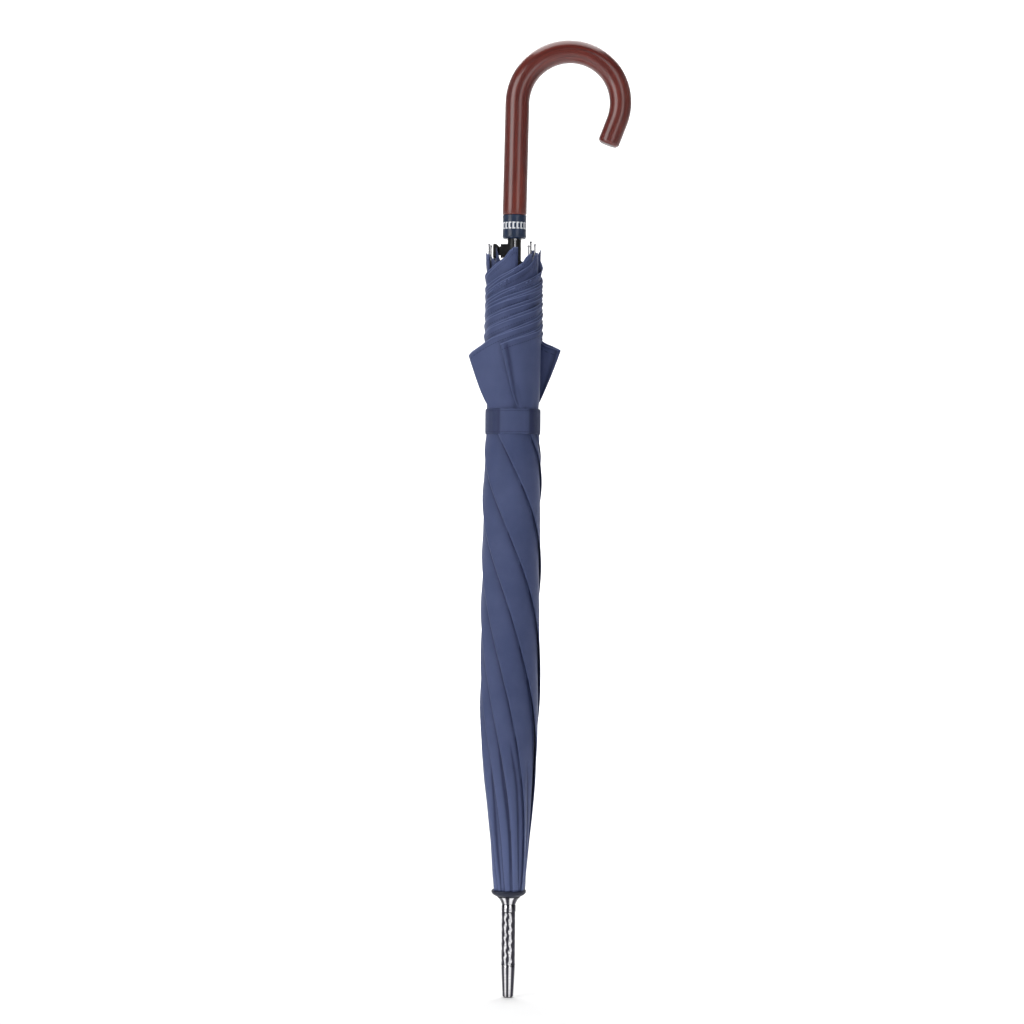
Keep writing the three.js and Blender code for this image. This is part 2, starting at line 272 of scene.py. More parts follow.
class Finish:
    """A material on one Principled shader, and the tools to build its nodes."""

    def __init__(self, name, **uniform):
        self.material = bpy.data.materials.new(name)
        self.material.use_nodes = True
        self.tree = self.material.node_tree
        self.shader = self.tree.nodes["Principled BSDF"]
        for socket, value in uniform.items():
            self.shader.inputs[socket.replace("_", " ")].default_value = value

    def node(self, kind, settings=None, inputs=None, output=0):
        made = self.tree.nodes.new(kind)
        for key, value in (settings or {}).items():
            if key == "stops":
                for spot, (place, colour) in enumerate(value):
                    elements = made.color_ramp.elements
                    stop = elements[spot] if spot < 2 else elements.new(place)
                    stop.position, stop.color = place, (*colour, 1)
            else:
                setattr(made, key, value)
        for key, value in (inputs or {}).items():
            if isinstance(value, Wire):
                self.tree.links.new(value.socket, made.inputs[key])
            else:
                made.inputs[key].default_value = value
        return Wire(self, made.outputs[output])

    def feed(self, socket, wire):
        """Link a wire to one of the shader's own sockets."""
        self.tree.links.new(wire.socket, self.shader.inputs[socket])
        return self

    def place(self):
        return self.node("ShaderNodeTexCoord", output="Object")

    def attribute(self, name, output="Fac"):
        """A number that the piece's mesh holds at each point."""
        return self.node("ShaderNodeAttribute", {"attribute_name": name}, output=output)

    def axes(self, vector):
        split = self.node("ShaderNodeSeparateXYZ", inputs={0: vector}).socket.node
        return [Wire(self, out) for out in split.outputs]

    def stretched(self, vector, scale):
        """The same places at another scale along each axis."""
        return self.node("ShaderNodeMapping", inputs={"Vector": vector, "Scale": scale})

    def noise(self, vector, scale, detail=3.0, rough=0.5):
        return self.node(
            "ShaderNodeTexNoise",
            inputs={"Vector": vector, "Scale": scale, "Detail": detail, "Roughness": rough},
        )

    def blend(self, share, a, b):
        """Colour a where share is 0 and colour b where it is 1."""
        def paint(c):
            return c if isinstance(c, Wire) else (*c, 1)

        return self.node(
            "ShaderNodeMix",
            {"data_type": "RGBA"},
            {0: share, 6: paint(a), 7: paint(b)},
            output=2,
        )

    def bump(self, height, depth, strength=1.0):
        bumped = self.node(
            "ShaderNodeBump",
            inputs={"Height": height, "Distance": depth, "Strength": strength},
        )
        return self.feed("Normal", bumped)


END_GRAIN = (0.05, 0.03, 0.03)
WORN_PLATING = (0.34, 0.34, 0.37)
PRINT = (0.78, 0.8, 0.84)
PAPER_SPECK = (0.86, 0.87, 0.88)
SHEEN_TINT = (0.62, 0.68, 0.9, 1)
# The hem's stitches: how far the row lies from the edge, half its width, stitches to a metre
# and the share of each that shows; then the width of the painted highlight along the hem's edge.
STITCH_IN, STITCH_HALF, STITCH_RATE, STITCH_SHOWN = 0.0055, 0.0004, 420, 0.6
HEM_HIGHLIGHT = 0.0009
# The collar's printed row: its height on the stick, bars round it, and half of a bar's height.
PRINT_Z, PRINT_CELLS, PRINT_HALF = 0.7172, 18, 0.0031
# Below this height the cloth is painted paler, as painted light, over this much of it.
PALE_BELOW, PALE_OVER = 0.25, 0.14


def lacquered_wood(s):
    """Reddish stained wood, streaked along the stick, under clear lacquer, with painted shade
    towards its two sides.
    """
    f = Finish("crook_wood", Roughness=0.42, Coat_Roughness=0.22, Coat_IOR=1.62)
    f.shader.inputs["Specular IOR Level"].default_value = 0.1
    length, turn_x, turn_y = (f.attribute(n) for n in ("length", "turn_x", "turn_y"))
    grain = f.node("ShaderNodeCombineXYZ", inputs={0: turn_x, 1: turn_y, 2: length})
    streak = f.noise(f.stretched(grain, (900, 900, 22)), 1.0, 5.0, 0.6)
    cloud = f.noise(f.stretched(grain, (60, 60, 14)), 1.0, 3.0)
    pores = f.noise(f.stretched(grain, (2600, 2600, 60)), 1.0, 2.0)
    tone = f.blend(streak.ramp(0.32, 0.7), s.wood_dark, s.wood)
    tone = f.blend(cloud.ramp(0.45, 0.75) * 0.55, tone, s.wood_light)
    tone = f.blend(pores.ramp(0.62, 0.75) * 0.5, tone, s.wood_dark)
    # Painted shade: the wood is darkened towards its two sides, as seen from the front.
    side = (turn_x / s.radius).size()
    tone = f.blend(side.ramp(0.5, 1.0) * 0.6, tone, s.wood_dark)
    end = f.attribute("end")
    tone = f.blend(end * 0.8, tone, END_GRAIN)
    f.feed("Base Color", tone)
    f.feed("Roughness", 0.36 + streak * 0.16)
    f.feed("Coat Weight", 0.95 - end * 0.8)
    f.bump(streak + pores * 0.4, 0.00006, 0.5)
    return f.material


def canopy_cloth(name, s, tint=1.0, stitched=True):
    """Tight plain-woven navy cloth with a stitched hem, painted shade in its folds, and painted
    light inside the turned-out corners, along the hem's edge and low on the stick.
    """
    f = Finish(name, Roughness=0.62, Sheen_Weight=0.12, Sheen_Roughness=0.45)
    f.shader.inputs["Specular IOR Level"].default_value = 0.3
    f.shader.inputs["Sheen Tint"].default_value = SHEEN_TINT
    uv = f.node("ShaderNodeUVMap", {"uv_map": "cloth"})
    across, down, _ = f.axes(uv)
    thread = math.tau / s.weave
    weave = (across * thread).wave() * (down * thread).wave()
    slub = f.noise(f.stretched(uv, (2200, 160, 1)), 1.0, 2.0)
    slub_two = f.noise(f.stretched(uv, (160, 2200, 1)), 1.0, 2.0)
    cloud = f.noise(f.place(), 26.0, 3.0)
    painted_light_and_shade = f.attribute("painted_light_and_shade")
    base = tuple(c * tint for c in s.cloth)
    light = tuple(c * tint for c in s.cloth_light)
    tone = f.blend(cloud.ramp(0.3, 0.72), base, light)
    tone = f.blend((slub + slub_two).ramp(0.9, 1.25) * 0.22, tone, s.cloth_light)
    tone = f.blend(weave.ramp(-0.9, 0.9) * 0.12, tone, s.cloth_shade_and_thread)
    height = f.axes(f.place())[2]
    # Painted light: paler low on the stick, over the ferrule.
    tone = f.blend((PALE_BELOW - height).ramp(0.0, PALE_OVER) * 0.9, tone, s.cloth_low_painted_light)
    # Painted shade in the folds, and painted light where that attribute runs below zero, inside the
    # turned-out corners.
    tone = f.blend(painted_light_and_shade * 0.8, tone, s.cloth_shade_and_thread)
    tone = f.blend(painted_light_and_shade * -1.0, tone, s.cloth_painted_light)
    if stitched:
        hem = f.attribute("hem")
        stitch = (across * STITCH_RATE).part() < STITCH_SHOWN
        row = ((hem - STITCH_IN).size() < STITCH_HALF) * stitch
        tone = f.blend(row * 0.6, tone, s.cloth_shade_and_thread)
        # Painted highlight along the hem's edge.
        tone = f.blend((hem < HEM_HIGHLIGHT) * 0.5, tone, s.cloth_painted_light)
    f.feed("Base Color", tone)
    f.feed("Roughness", 0.56 + cloud * 0.14)
    f.bump(weave * 0.5 + slub * 0.6 + cloud * 2.0, 0.00012, 0.35)
    return f.material


def bright_metal(name, tone, dark, roughness, scale=900.0, drawn=False):
    """Plated metal with faint turned streaks and light handling marks; drawn metal has painted
    reflections, dark where its gleam is low and bright where it is high."""
    f = Finish(name, Metallic=1.0, Roughness=roughness)
    place = f.place()
    turned = f.noise(f.stretched(place, (1, 1, 26)), scale * 0.1, 4.0)
    marks = f.noise(place, scale, 2.0)
    # Painted reflection: bright and dark streaks round the piece, from its gleam attribute.
    if drawn:
        paint = f.blend(f.attribute("gleam"), dark, tone)
        f.feed("Base Color", f.blend(turned.ramp(0.35, 0.8) * 0.3, paint, dark))
    else:
        f.feed("Base Color", f.blend(turned.ramp(0.35, 0.8) * 0.5, tone, dark))
    f.feed("Roughness", roughness + marks * 0.08 + turned * 0.05)
    f.bump(turned + marks * 0.5, 0.00003, 0.35)
    return f.material


def hammered_metal(s):
    """The ferrule sleeve: bright plated high spots, with painted reflection dark in the hollows,
    which follow the painted streaks.
    """
    f = Finish("ferrule_sleeve_metal", Metallic=1.0, Roughness=0.24)
    hollow_and_painted_dark = f.attribute("hollow_and_painted_dark")
    marks = f.noise(f.place(), 700.0, 3.0)
    worn = f.blend(marks.ramp(0.4, 0.65) * 0.55, s.chrome, WORN_PLATING)
    # Painted reflection: dark where the sleeve is hollowed, along the dark streaks.
    f.feed("Base Color", f.blend(hollow_and_painted_dark.ramp(0.1, 0.95), worn, s.chrome_streaks_and_painted_dark))
    f.feed("Roughness", 0.16 + marks * 0.12 + hollow_and_painted_dark * 0.14)
    f.bump(marks, 0.00005, 0.4)
    return f.material


def moulded_plastic(name, tone, worn, roughness=0.38):
    """Fine-grained moulded plastic, greyer where hands rub it."""
    f = Finish(name, Roughness=roughness)
    f.shader.inputs["Specular IOR Level"].default_value = 0.35
    place = f.place()
    grain = f.noise(place, 2600.0, 3.0)
    rub = f.noise(place, 130.0, 4.0)
    f.feed("Base Color", f.blend(rub.ramp(0.5, 0.8) * 0.6, tone, worn))
    f.feed("Roughness", roughness - 0.06 + rub * 0.16)
    f.bump(grain + rub * 0.5, 0.00005, 0.4)
    return f.material


def collar_enamel(s):
    """Navy band with a plain repeating row of pale footed bars, no lettering."""
    f = Finish("collar_enamel", Roughness=0.34, Coat_Roughness=0.12)
    f.shader.inputs["Specular IOR Level"].default_value = 0.2
    place = f.place()
    x, y, z = f.axes(place)
    turn = f.node("ShaderNodeMath", {"operation": "ARCTAN2"}, {0: y, 1: x}) / math.tau
    cell = (turn * PRINT_CELLS + 100).part()
    above = (z - PRINT_Z).size()
    bar = (cell < 0.42) * (above < PRINT_HALF)
    foot = (cell < 0.72) * ((above - 0.0026).size() < 0.0006)
    print_row = bar + foot * (1 - bar)
    weave = f.noise(f.stretched(place, (1, 1, 0.4)), 2200.0, 2.0)
    cloud = f.noise(place, 90.0, 3.0)
    tone = f.blend(cloud.ramp(0.3, 0.75), s.collar, s.collar_light)
    tone = f.blend(weave.ramp(0.55, 0.7) * 0.25, tone, s.collar_light)
    tone = f.blend(print_row * 0.95, tone, PRINT)
    f.feed("Base Color", tone)
    f.feed("Roughness", 0.3 + weave * 0.16)
    f.feed("Coat Weight", 0.5 - print_row * 0.3)
    f.bump(weave + print_row * 1.4, 0.00006, 0.4)
    return f.material


def painted_backdrop(s):
    """Matt paper, pale on the floor and greyer where it climbs."""
    f = Finish("studio_paper", Roughness=0.9, Emission_Strength=s.glow)
    f.shader.inputs["Specular IOR Level"].default_value = 0.0
    place = f.place()
    speck = f.noise(place, 3.0, 2.0)
    height = f.axes(place)[2]
    paper = f.blend(height.ramp(0.02, 1.2), s.paper, s.wall)
    f.feed("Base Color", f.blend(speck * 0.05, paper, PAPER_SPECK))
    return f.material


def bare_metal_and_plastic(s):
    """Finishes for the frame's own nodes, by the slot that the record gives each."""
    return {
        "steel": bright_metal("rib_steel", (0.42, 0.43, 0.46), (0.2, 0.2, 0.22), 0.32),
        "chrome": bright_metal("tip_chrome", s.stem, (0.1, 0.1, 0.11), 0.16),
        "black": moulded_plastic("black_plastic", (0.003, 0.003, 0.004), (0.012, 0.011, 0.013)),
    }


# ---------------------------------------------------------------- settings


class CrookSettings(bpy.types.PropertyGroup):
    radius: FloatProperty(
        name="Stick radius", description="Radius of the wood above the collar",
        default=0.0113, unit="LENGTH",
    )
    end_radius: FloatProperty(
        name="End radius", description="Radius at the crook's free end",
        default=0.0101, unit="LENGTH",
    )
    bend_radius: FloatProperty(
        name="Bend radius", description="Radius of the crook's bend, along its middle",
        default=0.048, unit="LENGTH",
    )
    wood: FloatVectorProperty(
        name="Wood", description="Main colour of the stained wood",
        default=(0.160, 0.017, 0.009), subtype="COLOR",
    )
    # Also painted as shade towards the stick's two sides.
    wood_dark: FloatVectorProperty(
        name="Grain", description="Colour of the wood's dark streaks",
        default=(0.075, 0.007, 0.005), subtype="COLOR",
    )
    wood_light: FloatVectorProperty(
        name="Light wood", description="Colour of the wood's warm patches",
        default=(0.235, 0.034, 0.015), subtype="COLOR",
    )


class ClothSettings(bpy.types.PropertyGroup):
    cloth: FloatVectorProperty(
        name="Cloth", description="Main colour of the canopy",
        default=(0.047, 0.065, 0.157), subtype="COLOR",
    )
    cloth_light: FloatVectorProperty(
        name="Light cloth", description="Colour of the cloth's paler threads",
        default=(0.066, 0.086, 0.190), subtype="COLOR",
    )
    # Painted light: the paler colour low on the stick, over the ferrule.
    cloth_low_painted_light: FloatVectorProperty(
        name="Low cloth", description="Colour of the cloth gathered over the ferrule",
        default=(0.100, 0.130, 0.270), subtype="COLOR",
    )
    # Painted light: the brighter colour inside the turned-out corners and along the hems' edges.
    cloth_painted_light: FloatVectorProperty(
        name="Turned cloth", description="Colour of the cloth inside the turned-out corners",
        default=(0.150, 0.190, 0.370), subtype="COLOR",
    )
    # Painted shade in the folds; also the colour of the weave's dark threads and of the stitches.
    cloth_shade_and_thread: FloatVectorProperty(
        name="Fold", description="Colour deep in the folds",
        default=(0.007, 0.011, 0.048), subtype="COLOR",
    )
    weave: FloatProperty(
        name="Weave", description="Width of two threads",
        default=0.0007, unit="LENGTH", precision=5,
    )
    thickness: FloatProperty(
        name="Thickness", description="Thickness of one layer of cloth",
        default=0.0002, unit="LENGTH", precision=5,
    )
    columns: IntProperty(
        name="Columns", description="Faces across each half of a furled panel", default=66,
    )
    rows: IntProperty(
        name="Rows", description="Faces along each furled panel", default=118,
    )


class MetalSettings(bpy.types.PropertyGroup):
    chrome: FloatVectorProperty(
        name="Plating", description="Colour of the bright plating",
        default=(0.93, 0.92, 0.95), subtype="COLOR",
    )
    # Painted reflection: the dark between the plating's bright streaks and in the sleeve's hollows;
    # also the colour of the ferrule's turned streaks.
    chrome_streaks_and_painted_dark: FloatVectorProperty(
        name="Plating shade", description="Colour of the dark streaks in the plating",
        default=(0.038, 0.036, 0.048), subtype="COLOR",
    )
    stem: FloatVectorProperty(
        name="Stems", description="Colour of the plated rib ends",
        default=(0.42, 0.42, 0.44), subtype="COLOR",
    )
    collar: FloatVectorProperty(
        name="Collar", description="Main colour of the collar band",
        default=(0.010, 0.021, 0.050), subtype="COLOR",
    )
    collar_light: FloatVectorProperty(
        name="Collar light", description="Paler colour of the collar band",
        default=(0.022, 0.038, 0.082), subtype="COLOR",
    )
    cap: FloatVectorProperty(
        name="Cap", description="Colour of the cap over the canopy's crown",
        default=(0.009, 0.012, 0.032), subtype="COLOR",
    )


class StudioSettings(bpy.types.PropertyGroup):
    paper: FloatVectorProperty(
        name="Paper", description="Colour of the floor and backdrop",
        default=(0.93, 0.93, 0.93), subtype="COLOR",
    )
    wall: FloatVectorProperty(
        name="Wall", description="Colour of the backdrop where it curves up",
        default=(0.60, 0.60, 0.60), subtype="COLOR",
    )
    glow: FloatProperty(
        name="Paper glow", description="Light that the paper round the set gives back",
        default=0.05,
    )
    sky: FloatProperty(
        name="Sky", description="Strength of the even light from all round", default=0.08,
    )
    camera_height: FloatProperty(
        name="Camera height", description="Height of the camera above the floor",
        default=0.4511, unit="LENGTH",
    )
    distance: FloatProperty(
        name="Camera distance", description="From the umbrella's axis to the camera",
        default=2.65, unit="LENGTH",
    )
    view_height: FloatProperty(
        name="Frame height", description="Height of the picture at the umbrella",
        default=0.9533, unit="LENGTH",
    )
    roll: FloatProperty(
        name="Roll", description="How far the camera is rolled",
        default=math.radians(-0.5), subtype="ANGLE",
    )


# ---------------------------------------------------------------- furled canopy

# Height and outer radius of the furled cloth, in metres.
BUNDLE = Profile([
    (0.0990, 0.0146), (0.1085, 0.0157), (0.127, 0.0176), (0.1457, 0.0191), (0.1643, 0.0209),
    (0.183, 0.0225), (0.2016, 0.0241), (0.2202, 0.0252), (0.2388, 0.0265), (0.2574, 0.0273),
    (0.276, 0.0278), (0.332, 0.0274), (0.406, 0.0273), (0.462, 0.0270), (0.4995, 0.0262),
    (0.518, 0.0249), (0.524, 0.0242), (0.546, 0.0242), (0.556, 0.0252), (0.58, 0.0264),
    (0.61, 0.0272), (0.65, 0.0264), (0.676, 0.0262), (0.70, 0.0250),
])
# Height and radius of the innermost layer.
CORE = Profile([
    (0.0990, 0.0119), (0.146, 0.0134), (0.183, 0.0146), (0.239, 0.0166), (0.275, 0.0178),
    (0.39, 0.0199), (0.50, 0.0206), (0.52, 0.0208), (0.55, 0.0210), (0.60, 0.0218),
    (0.65, 0.0228), (0.70, 0.0238),
])
# Height and radius of a closed rib's middle line.
RIB_LINE = [
    (0.1035, 0.0095), (0.110, 0.0101), (0.200, 0.0129), (0.300, 0.0158), (0.390, 0.0173),
    (0.480, 0.0184), (0.560, 0.0192), (0.640, 0.0203),
]
# Azimuth in degrees, radius and height of each rib's tip.
TIPS = [
    (-30, 0.0220, 0.700), (46, 0.0223, 0.705), (92, 0.0223, 0.701), (137, 0.0223, 0.700),
    (178, 0.0234, 0.701), (196, 0.0226, 0.699), (272, 0.0225, 0.704), (306, 0.0225, 0.698),
]
TIP_LENGTH = 0.0153
RIVET_Z = 0.39025
# Each panel's folded edge, as an azimuth in degrees low on the stick.
EDGES = [270, 307, 356, 410, 478, 551, 577, 603]
# How far, in degrees, the edges have wound round by each height.
WINDING = Profile([
    (0.100, -14), (0.1736, 0), (0.2695, 37), (0.356, 86), (0.425, 140), (0.4986, 212),
    (0.521, 241), (0.557, 290), (0.600, 316), (0.612, 321),
])
# What each edge has turned back by the corners above the strap, how far its corner stands out,
# how far its two halves gape there, and how deep it is tucked under its neighbour.
TURN_BACK = [0, 11, 8, 4, 14, 14, 0, 0]
FLARE = [0.0, 0.0170, 0.0140, 0.0150, 0.0142, 0.0026, 0.0, 0.0]
GAPE = [0.0, 0.0055, 0.0030, 0.0035, 0.0020, 0.0012, 0.0, 0.0]
TUCK = [0.0030, 0.0, 0.0, 0.0, 0.0, 0.0, 0.0036, 0.0033]
# Height of each panel's corner, and how far the hem hangs below that at the very corner.
CORNER_Z = [0.598, 0.611, 0.606, 0.603, 0.604, 0.607, 0.600, 0.599]
DROOP = [0.0, 0.0090, 0.0050, 0.0060, 0.0078, 0.0010, 0.0, 0.0]
# How far the hem has climbed towards its peak, by its share of the way from corner to rib.
HEM_RISE = Profile(
    [
        (0, 0), (0.1, 0.075), (0.2, 0.155), (0.367, 0.305), (0.48, 0.41), (0.58, 0.50),
        (0.66, 0.575), (0.77, 0.685), (0.9, 0.835), (0.95, 0.92), (0.972, 1), (1, 1),
    ],
    0.004,
)
# The panel whose folded edge shows as a pressed ridge above the strap.
RIDGE = 5
FOOT_Z = 0.0990
PEAK_DROP = 0.0085
# How far the cloth runs on past a rib's middle line, and how far it stands out over it.
RIB_COVER, OVER_RIB = 0.0024, 0.0030
# The strap's top and middle, and the heights over which the cloth comes free of its grip.
STRAP_TOP, STRAP_MIDDLE = 0.547, 0.535
GRIP_LOW, GRIP_HIGH = 0.525, 0.545
# Where the corners start to stand out, and the height over which that ends above them.
FLARE_FROM, FLARE_FADE = 0.546, 0.022
# How far round from the folded edge each panel's corner stands out.
FLAPS = [math.radians(a) for a in (46, 20, 40, 40, 46, 46, 46, 46)]
LAYER_GAP = 0.00022
# The folded edge's rolled lip: its height, and how far round it fades.
LIP_HEIGHT, LIP_TURN = 0.00045, 0.16
# Gathers over the ferrule: their depth, and how many wide and fine ones go half-way round.
PLEAT_DEPTH = 0.0019
WIDE_PLEATS, FINE_PLEATS = 5.5, 3.5
HINGE_RADIUS, HINGE_Z = 0.0095, 0.1035
OPEN = math.radians(70)
# A panel as cut: its length, and half its width at the hem.
CUT_LENGTH, CUT_HALF_WIDTH = 0.6, 0.21
SPREAD_COLUMNS, SPREAD_ROWS = 20, 48
# The spread cloth starts this high, stands this far outside the ribs' middle lines, and its
# hem and middle bow in by these shares.
SPREAD_FOOT, SPREAD_STAND = 0.1080, 0.0026
HEM_BOW, MIDDLE_BOW = 0.055, 0.045


RIB_CURVES = [Profile(RIB_LINE + [(top - TIP_LENGTH, radius)]) for _, radius, top in TIPS]


def rib_spot(rib, z):
    """Azimuth and radius of a rib's middle line at a height, with its lean near the tip."""
    azimuth, _, top = TIPS[rib % RIBS]
    end = top - TIP_LENGTH
    turn = (math.radians(azimuth) - (rib % RIBS) * STEP + math.pi) % math.tau - math.pi
    lean = turn * (max(0.0, z - RIVET_Z) / (end - RIVET_Z)) ** 2
    return rib * STEP + lean, RIB_CURVES[rib % RIBS](z)


def root_rib(panel, side):
    """The rib that each half of a wound panel hangs from, counted on past a full turn."""
    return panel + RIBS + (2 if side > 0 else 1)


def edge_azimuth(panel, z):
    """Azimuth of a panel's folded edge at a height."""
    back = TURN_BACK[panel] * ease(between(z, 0.478, 0.6))
    return math.radians(EDGES[panel] - WINDING(z) + back)


def hem_height(panel, share, rib):
    """Height of a panel's hem, from its folded corner to the peak on its rib."""
    droop = DROOP[panel] * (1 - between(share, 0, 0.09)) ** 2
    return mix(CORNER_Z[panel], TIPS[rib % RIBS][2] - PEAK_DROP, HEM_RISE(share)) - droop


def gather_turn(azimuth, z):
    """Azimuth counted along the gathers, which lean and waver as they climb."""
    waver = 0.06 * math.sin(3 * azimuth + 24 * z) + 0.03 * math.sin(5 * azimuth - 40 * z)
    return azimuth + math.radians(WINDING(z)) * 0.9 + waver


def pleats(azimuth, z):
    """Narrow gathers that converge on the ferrule and fade out up the stick."""
    depth = PLEAT_DEPTH * ease(between(z, 0.100, 0.116)) * (1 - ease(between(z, 0.16, 0.262)))
    turn = gather_turn(azimuth, z)
    wide = abs(math.sin(turn * WIDE_PLEATS)) - 0.62
    fine = abs(math.sin(turn * FINE_PLEATS + 0.7)) - 0.62
    return depth * (wide + 0.5 * fine)


def gather_shade(azimuth, z):
    """Painted shade: dark lines down in the valleys between the gathers."""
    turn = gather_turn(azimuth, z)
    reach = 0.5 + 0.5 * math.sin(turn * 2.3 + 2.0)
    upto = mix(0.148, 0.245, reach)
    swell = 1 - abs(2 * between(z, 0.095, upto) - 1.0)
    width = 0.14 + 0.30 * swell
    valley = math.exp(-((math.sin(turn * WIDE_PLEATS) / width) ** 2))
    return valley * (1 - ease(between(z, upto - 0.02, upto)))


def slack(azimuth, z):
    """Slow swells in the wound cloth, drawn along the folds."""
    turn = azimuth + math.radians(WINDING(z))
    swell = math.sin(2 * turn + 31 * z) * 0.00022 + math.sin(5 * turn - 47 * z + 1.3) * 0.00014
    above = ease(between(z, STRAP_TOP, 0.57))
    drawn = math.sin(7 * azimuth + 60 * z + 0.4) * 0.00035 * above
    near = math.exp(-(((z - STRAP_MIDDLE) / 0.03) ** 2))
    pinch = math.sin(15 * azimuth + 1.1) * 0.0002 * near
    return swell + drawn + pinch


def share_above_hem(panel, rib, z):
    """The share of the way to the rib over which the hem lies below this height."""
    if z <= CORNER_Z[panel] - DROOP[panel]:
        return 0.0
    reached, step = 0.0, 1.0
    for _ in range(18):
        step /= 2
        if hem_height(panel, reached + step, rib) < z:
            reached += step
    return reached


def panel_point(panel, side, share, rise):
    """Where a folded panel's cloth lies: side is 1 on its outer layer and -1 on its inner, share
    runs from the folded edge to the rib, and rise from the crown to the hem."""
    rib = root_rib(panel, side)
    z = mix(FOOT_Z, hem_height(panel, share, rib), rise)
    edge = edge_azimuth(panel, z)
    rib_turn, rib_radius = rib_spot(rib, z)
    rib_turn += math.tau * round((rib * STEP - rib_turn) / math.tau)
    rib_turn += RIB_COVER / rib_radius
    turn = mix(edge, rib_turn, share)
    low = CORNER_Z[panel] - DROOP[panel]
    open_share = share_above_hem(panel, rib, z)
    depth = max(0.0, share - open_share) / max(0.05, 1 - open_share)
    outer = BUNDLE(z) + slack(turn, z) + pleats(turn, z)
    radius = mix(outer, CORE(z), depth**0.85)
    past_hem = (share - open_share) * abs(rib_turn - edge)
    radius += LIP_HEIGHT * math.exp(-((past_hem / LIP_TURN) ** 2))
    wound = share * abs(rib_turn - edge)
    lift = FLARE[panel] * between(z, FLARE_FROM, low)
    lift *= 1 - ease(between(z, low, low + FLARE_FADE))
    radius += lift * (1 - between(wound, 0, FLAPS[panel])) ** 1.4
    tucked = ease(between(z, GRIP_LOW, GRIP_HIGH))
    tucked *= 1 - ease(between(z, low + 0.004, low + 0.016))
    radius -= TUCK[panel] * tucked * (1 - between(wound, 1.2, 2.6))
    gape = GAPE[panel] * between(z, 0.56, low) * (1 - between(wound, 0.02, FLAPS[panel] * 1.3))
    gape *= min(1.0, wound / LIP_TURN)
    gap = LAYER_GAP + gape * (0.6 if side > 0 else 1.0)
    radius += side * gap * min(1.0, wound / 0.015)
    past = (turn - rib_turn) * rib_radius + RIB_COVER
    home = ease(between(past, -0.011, -0.0026))
    over_rib = OVER_RIB - 0.9 * max(0.0, past - 0.0016)
    radius = mix(radius, rib_radius + over_rib, home)
    return turn, radius, z, wound


def hem_shade(panel, turn, z, side):
    """Shadow just above the hem of the layer that lies over this one."""
    over, lap = (panel, 0.0) if side < 0 else ((panel + 1) % RIBS, (panel + 1) // RIBS)
    rib = root_rib(over, -side)
    edge = edge_azimuth(over, z) + lap * math.tau
    share = (turn - edge) / (rib * STEP + lap * math.tau - edge)
    if z < 0.6 or not 0 < share < 1:
        return 0.0
    clear = z - hem_height(over, share, rib)
    if clear < 0:
        return 0.0
    strength = 0.72 + 0.28 * math.sin(2 * turn + 1.9) + 0.2 * math.sin(7 * turn + 90 * z)
    return min(1.0, strength * (math.exp(-clear / 0.0016) + 0.3 * math.exp(-clear / 0.006)))


def fold_shade(panel, turn, z, side, wound):
    """How deep a spot lies in the painted shadow of the next panel's edge; below zero it is painted
    light, inside the turned-out corners.
    """
    hem = hem_shade(panel, turn, z, side)
    out = between(FLARE[panel], 0.005, 0.01)
    if side < 0:
        # Inside a turned-out corner: painted shade near the fold and in the dark gap at its top,
        # painted light over the rest.
        corner = out * between(z, 0.55, 0.56) * (1 - between(wound, 1.0, 1.4))
        deep = ease(between(z, 0.6040, 0.6065))
        near = 1.9 * (1 - between(wound, 0.05, 0.12)) * (1 - deep)
        return max(hem, corner * (near - 0.9 + 1.85 * deep)) if corner else hem
    above = (panel + 1) % RIBS
    ahead = (edge_azimuth(above, z) - turn) % math.tau
    close = math.exp(-ahead / 0.055) + 0.35 * math.exp(-ahead / 0.2)
    close *= 0.15 if z > 0.612 or TUCK[above] and z > 0.545 else 1.0
    # Painted shade: a dark band beside the pressed ridge.
    if panel == RIDGE:
        fan = between(z, 0.546, 0.6)
        band = math.exp(-(((wound - 0.05 - 0.13 * fan) / (0.03 + 0.05 * fan)) ** 2))
        hem += 0.85 * band * (1 - ease(between(z, 0.604, 0.609))) * between(z, 0.546, 0.55)
    if above == RIDGE and z > 0.55:
        close *= 0.3
    return min(1.0, close + hem + gather_shade(turn, z))


def furled_panel(panel, s, finish):
    """One panel of the canopy, folded in two along its middle and wound round the stick."""
    bm, uv, painted_light_and_shade, hem = cloth_grid(2 * s.columns, s.rows)
    flat = {}
    for vert in bm.verts:
        side = 1 if vert.co.x >= 0 else -1
        share = abs(vert.co.x) ** 1.3
        rise = (vert.co.y + 1) / 2
        turn, radius, z, wound = panel_point(panel, side, share, rise)
        rib = root_rib(panel, side)
        vert[painted_light_and_shade] = fold_shade(panel, turn, z, side, wound)
        vert[hem] = hem_height(panel, share, rib) - z
        flat[vert.index] = (side * share * CUT_HALF_WIDTH * rise, z)
        vert.co = polar(turn, radius, z)
    name = f"canopy_fold_{(panel + 1) % RIBS + 1}"
    return sheet_piece(name, bm, uv, flat, finish, "cloth", s.thickness)


# ---------------------------------------------------------------- spread canopy


def opened(rib, z, stand):
    """A spot beside a rib, stand outside its middle line, once the rib has swung out."""
    azimuth, radius = rib_spot(rib, z)
    base = rib * STEP
    lean = azimuth - base
    x = (radius + stand) * math.cos(lean) - HINGE_RADIUS
    y = (radius + stand) * math.sin(lean)
    up = z - HINGE_Z
    out = HINGE_RADIUS + x * math.cos(OPEN) + up * math.sin(OPEN)
    high = HINGE_Z - x * math.sin(OPEN) + up * math.cos(OPEN)
    spot = Vector((out, y, high))
    spot.rotate(Matrix.Rotation(base, 3, "Z"))
    return spot


